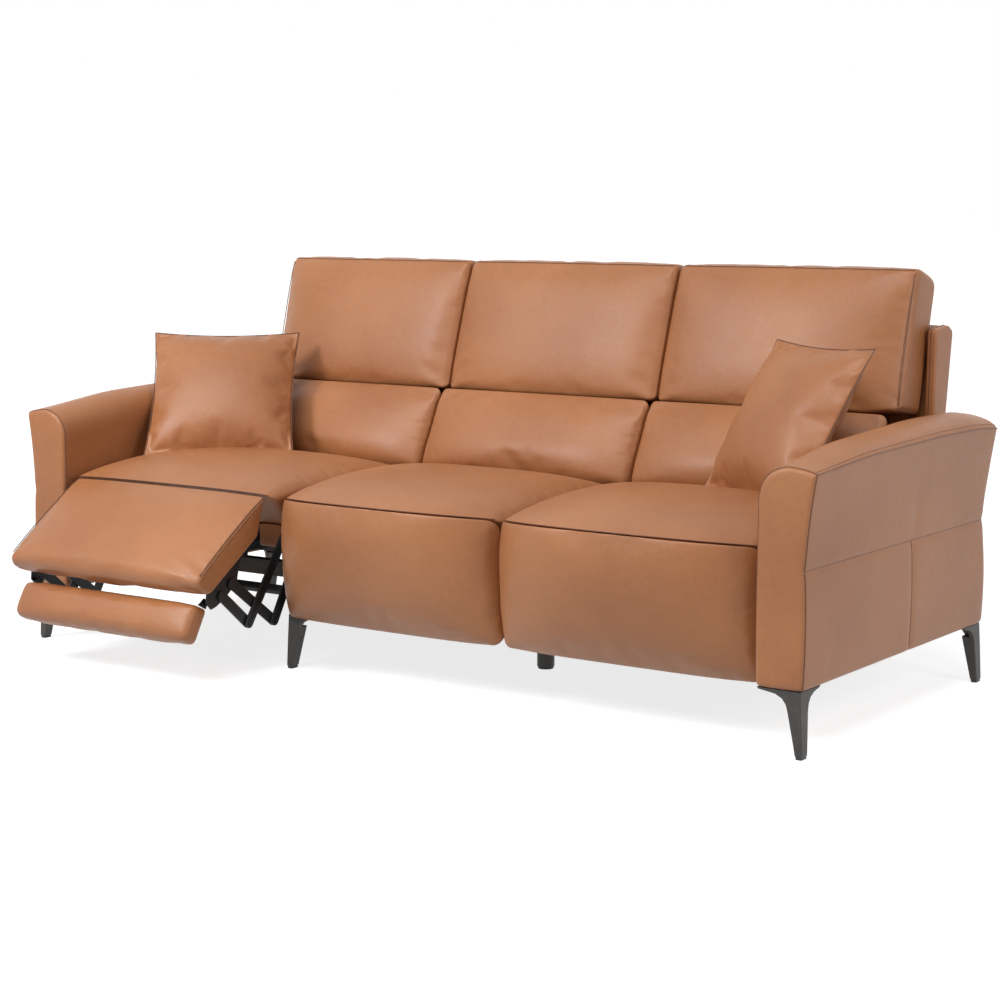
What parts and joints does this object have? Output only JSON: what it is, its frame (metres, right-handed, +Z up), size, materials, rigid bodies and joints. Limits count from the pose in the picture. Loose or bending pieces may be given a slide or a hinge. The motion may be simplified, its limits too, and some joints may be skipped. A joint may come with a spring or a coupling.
{
  "type": "reclining sofa",
  "caption": "Leather sofa with a reclining end seat whose legrest and flap fold out on a link mechanism, tilting headrests, bracket legs and loose cushions.",
  "frame": {"origin": "on the floor, under the middle of the overall box at rest", "axes": "+X towards the right arm as seen from the front, +Y towards the back, +Z up"},
  "size_m": [2.2384, 1.2204, 0.962],
  "materials": {
    "cover leather": "semi-gloss tan leather with dark brown piping",
    "frame wood": "plain sawn timber and plywood",
    "leg metal": "satin gunmetal",
    "mechanism steel": "satin black",
    "spring steel": "oiled",
    "black plastic": "matt"
  },
  "bodies": {
    "base": {"left_arm": "cover leather", "right_arm": "cover leather", "arm_frames": "frame wood", "front_left_leg": "leg metal", "front_right_leg": "leg metal", "rear_right_leg": "leg metal", "rear_left_leg": "leg metal", "front_middle_leg": "leg metal", "centre_leg": "black plastic", "foot_glides": "black plastic", "left_divider_rail": "frame wood", "right_divider_rail": "frame wood", "front_base_rail": "frame wood", "centre_base_rail": "frame wood", "recliner_cross_rail": "frame wood", "rear_base_rail": "frame wood", "glide_rails": "mechanism steel", "middle_seat_cushion": "cover leather", "middle_front_panel": "cover leather", "right_seat_cushion": "cover leather", "right_front_panel": "cover leather", "middle_seat_deck": "frame wood", "right_seat_deck": "frame wood", "fixed_seat_springs": "spring steel", "rear_skirt_panel": "cover leather", "middle_lumbar_cushion": "cover leather", "right_lumbar_cushion": "cover leather", "middle_back_frame": "frame wood", "right_back_frame": "frame wood", "middle_back_shell": "cover leather", "right_back_shell": "cover leather"},
    "reclining seat": {"left_seat_cushion": "cover leather", "left_seat_deck": "frame wood", "left_seat_springs": "spring steel", "seat_corner_panels": "cover leather", "left_side_plate": "mechanism steel", "right_side_plate": "mechanism steel", "drive_track": "mechanism steel", "drive_motor": "black plastic"},
    "reclining back": {"left_lumbar_cushion": "cover leather", "left_back_frame": "frame wood", "left_back_shell": "cover leather", "recline_brackets": "mechanism steel"},
    "left headrest unit": {"left_headrest": "cover leather", "left_headrest_arms": "mechanism steel"},
    "middle headrest unit": {"middle_headrest": "cover leather", "middle_headrest_arms": "mechanism steel"},
    "right headrest unit": {"right_headrest": "cover leather", "right_headrest_arms": "mechanism steel"},
    "legrest": {"legrest_pad": "cover leather", "legrest_brackets": "mechanism steel"},
    "flap": {"flap_pad": "cover leather", "flap_lugs": "mechanism steel"},
    "lift link pair": {"lift_links": "mechanism steel"},
    "front link pair": {"front_links": "mechanism steel"},
    "rear link pair": {"rear_links": "mechanism steel"},
    "cross link pair": {"cross_links": "mechanism steel"},
    "drive nut": {"drive_nut": "black plastic"},
    "left throw cushion": {"left_throw_cushion": "cover leather"},
    "right throw cushion": {"right_throw_cushion": "cover leather"}
  },
  "joints": [
    {"name": "seat_glide", "type": "slide", "parent": "base", "child": "reclining seat", "axis": [0, -1, 0], "range_m": [0, 0.07]},
    {"name": "back_recline", "type": "hinge", "parent": "reclining seat", "child": "reclining back", "pos_m": [-0.64, 0.4, 0.36], "axis": [1, 0, 0], "range_deg": [-22, 0]},
    {"name": "legrest_lift", "type": "hinge", "parent": "reclining seat", "child": "legrest", "pos_m": [-0.64, -0.348, 0.43], "axis": [1, 0, 0], "range_deg": [-6, 52]},
    {"name": "flap_turn", "type": "hinge", "parent": "legrest", "child": "flap", "pos_m": [-0.64, -0.519, 0.192], "axis": [1, 0, 0], "range_deg": [-18, 154]},
    {"name": "lift_link_turn", "type": "hinge", "parent": "reclining seat", "child": "lift link pair", "pos_m": [-0.64, -0.26, 0.332], "axis": [1, 0, 0], "range_deg": [-7, 56]},
    {"name": "front_link_turn", "type": "hinge", "parent": "legrest", "child": "front link pair", "pos_m": [-0.64, -0.485, 0.205], "axis": [1, 0, 0], "range_deg": [-57, 7]},
    {"name": "rear_link_turn", "type": "hinge", "parent": "reclining seat", "child": "rear link pair", "pos_m": [-0.64, -0.2, 0.31], "axis": [1, 0, 0], "range_deg": [-7, 54]},
    {"name": "cross_link_turn", "type": "hinge", "parent": "legrest", "child": "cross link pair", "pos_m": [-0.64, -0.45, 0.23], "axis": [1, 0, 0], "range_deg": [-56, 7]},
    {"name": "drive_nut_slide", "type": "slide", "parent": "reclining seat", "child": "drive nut", "axis": [0, 1, 0], "range_m": [-0.0146, 0.1236]},
    {"name": "left_headrest_tilt", "type": "hinge", "parent": "reclining back", "child": "left headrest unit", "pos_m": [-0.629, 0.5, 0.645], "axis": [1, 0, 0], "range_deg": [0, 20]},
    {"name": "middle_headrest_tilt", "type": "hinge", "parent": "base", "child": "middle headrest unit", "pos_m": [0, 0.5, 0.645], "axis": [1, 0, 0], "range_deg": [0, 20]},
    {"name": "right_headrest_tilt", "type": "hinge", "parent": "base", "child": "right headrest unit", "pos_m": [0.629, 0.5, 0.645], "axis": [1, 0, 0], "range_deg": [0, 20]},
    {"name": "left_cushion_lift", "type": "slide", "parent": "reclining seat", "child": "left throw cushion", "axis": [0, -0.5, 0.866], "range_m": [0, 0.3]},
    {"name": "right_cushion_lift", "type": "slide", "parent": "base", "child": "right throw cushion", "axis": [0, -0.5, 0.866], "range_m": [0, 0.3]}
  ],
  "couplings": [
    {"joint": "back_recline", "follows": "seat_glide", "rad_per_m": -5.484},
    {"joint": "flap_turn", "follows": "legrest_lift", "ratio": 2.96},
    {"joint": "lift_link_turn", "follows": "legrest_lift", "ratio": 1.0587},
    {"joint": "front_link_turn", "follows": "legrest_lift", "ratio": -1.0811},
    {"joint": "rear_link_turn", "follows": "legrest_lift", "ratio": 1.0131},
    {"joint": "cross_link_turn", "follows": "legrest_lift", "ratio": -1.0569},
    {"joint": "drive_nut_slide", "follows": "legrest_lift", "m_per_rad": 0.13506}
  ]
}
